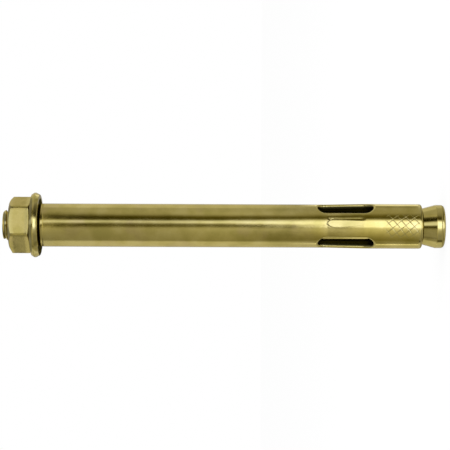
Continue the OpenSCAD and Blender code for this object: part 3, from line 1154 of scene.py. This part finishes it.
# Each set of cloths takes over between two heights
TENT_ZONES = (
    (DEEP_CLOTHS, -1.42, -1.34),
    (DUSK_CLOTHS, -1.12, -1.0),
    (RIM_CLOTHS, -1.0, -0.86),
    (DUSK_CLOTHS, -0.42, -0.34),
    (LAND_CLOTHS, -0.24, -0.19),
    (LOW_CLOTHS, -0.112, -0.102),
    (MID_CLOTHS, -0.015, 0.012),
    (BAND_CLOTHS, 0.024, 0.034),
    (HALF_CLOTHS, 0.045, 0.075),
    (SOFT_CLOTHS, 0.1, 0.13),
    (LEVEL_CLOTHS, 0.185, 0.215),
    (NUT_CLOTHS, 0.254, 0.264),
    (CONE_CLOTHS, 0.291, 0.303),
    (HIGH_CLOTHS, 0.55, 0.80),
)


def cloth_stop(degrees, level, warm):
    """Place and colour of a cloth on the ramp that goes once round the tent."""
    shade = level / CLOTH_GLOW
    return degrees / 360 + 0.5, (shade, shade * (1 - CLOTH_GREEN * warm), shade * (1 - warm))


def tent_finish():
    """Light and dark cloths of the tent, by the angle from the camera and by height."""
    material = bpy.data.materials.new("studio_cloths")
    material.use_nodes = True
    tree = material.node_tree
    tree.nodes.clear()
    nodes = Nodes(tree)
    x, y, z = nodes.parts(tree.nodes.new("ShaderNodeTexCoord").outputs["Object"])
    sin, cos = math.sin(CAMERA_SIDE), math.cos(CAMERA_SIDE)
    ahead = x * -sin + y * -cos
    aside = x * -cos + y * sin
    turn = aside.calc("ARCTAN2", ahead) / FULL_TURN + 0.5
    colour = nodes.ramp(turn, [cloth_stop(*cloth) for cloth in PLAIN_CLOTHS])
    for cloths, start, end in TENT_ZONES:
        zone = nodes.ramp(turn, [cloth_stop(*cloth) for cloth in cloths])
        colour = nodes.blend(z.share(start, end), colour, zone)
    glow = tree.nodes.new("ShaderNodeEmission")
    sink = tree.nodes.new("ShaderNodeOutputMaterial")
    glow.inputs["Strength"].default_value = CLOTH_GLOW
    tree.links.new(colour, glow.inputs["Color"])
    tree.links.new(glow.outputs[0], sink.inputs[0])
    return material


def make_tent():
    """A round tent of cloths with a floor and a roof, that only the metal's reflections see."""
    bm = bmesh.new()
    rings = []
    for angle in between(0, FULL_TURN, TENT_SIDES)[:-1]:
        x, y = TENT_RADIUS * math.cos(angle), TENT_RADIUS * math.sin(angle)
        rings.append((bm.verts.new((x, y, TENT_LOW)), bm.verts.new((x, y, TENT_HIGH))))
    for left, right in zip(rings, rings[1:] + rings[:1]):
        bm.faces.new((left[0], left[1], right[1], right[0]))
    for end in (0, 1):
        bm.faces.new([pair[end] for pair in rings])
    tent = new_piece("studio_tent", bm)
    tent.data.materials.append(tent_finish())
    tent.visible_camera = False
    tent.visible_diffuse = False
    tent.visible_shadow = False


def floor_finish():
    """White to the camera, with the shadow that falls on it."""
    material = bpy.data.materials.new("white_floor")
    material.use_nodes = True
    tree = material.node_tree
    tree.nodes.clear()
    paint = tree.nodes.new("ShaderNodeBsdfDiffuse")
    paint.inputs["Color"].default_value = FLOOR_PAINT
    glow = tree.nodes.new("ShaderNodeEmission")
    glow.inputs["Strength"].default_value = 1.0
    rays = tree.nodes.new("ShaderNodeLightPath")
    seen = Field(tree, rays.outputs["Is Camera Ray"]) + Field(tree, rays.outputs["Is Glossy Ray"])
    seen = seen + Field(tree, rays.outputs["Is Transmission Ray"])
    mix = tree.nodes.new("ShaderNodeMixShader")
    sink = tree.nodes.new("ShaderNodeOutputMaterial")
    tree.links.new((seen * FLOOR_SEEN_WHITE).socket, mix.inputs[0])
    tree.links.new(paint.outputs[0], mix.inputs[1])
    tree.links.new(glow.outputs[0], mix.inputs[2])
    tree.links.new(mix.outputs[0], sink.inputs[0])
    return material


def make_floor():
    bm = bmesh.new()
    bmesh.ops.create_grid(bm, x_segments=1, y_segments=1, size=FLOOR_HALF)
    bmesh.ops.translate(bm, verts=bm.verts, vec=(0, 0, -FLOOR_DROP))
    floor = new_piece("studio_floor", bm)
    floor.data.materials.append(floor_finish())
    floor.visible_glossy = False


def make_softbox():
    """A soft lamp overhead, for the shadow and the faces that look up."""
    lamp = bpy.data.lights.new("overhead_softbox", "AREA")
    lamp.shape = "SQUARE"
    lamp.size = SOFTBOX_SIZE
    lamp.energy = SOFTBOX_WATTS
    holder = bpy.data.objects.new("overhead_softbox", lamp)
    holder.location = SOFTBOX_PLACE
    holder.rotation_euler = (Vector(SOFTBOX_AIM) - holder.location).to_track_quat("-Z", "Y").to_euler()
    holder.visible_glossy = False
    bpy.context.scene.collection.objects.link(holder)


make_camera()
make_world()
make_tent()
make_floor()
make_softbox()
bpy.context.scene.view_settings.view_transform = "Standard"
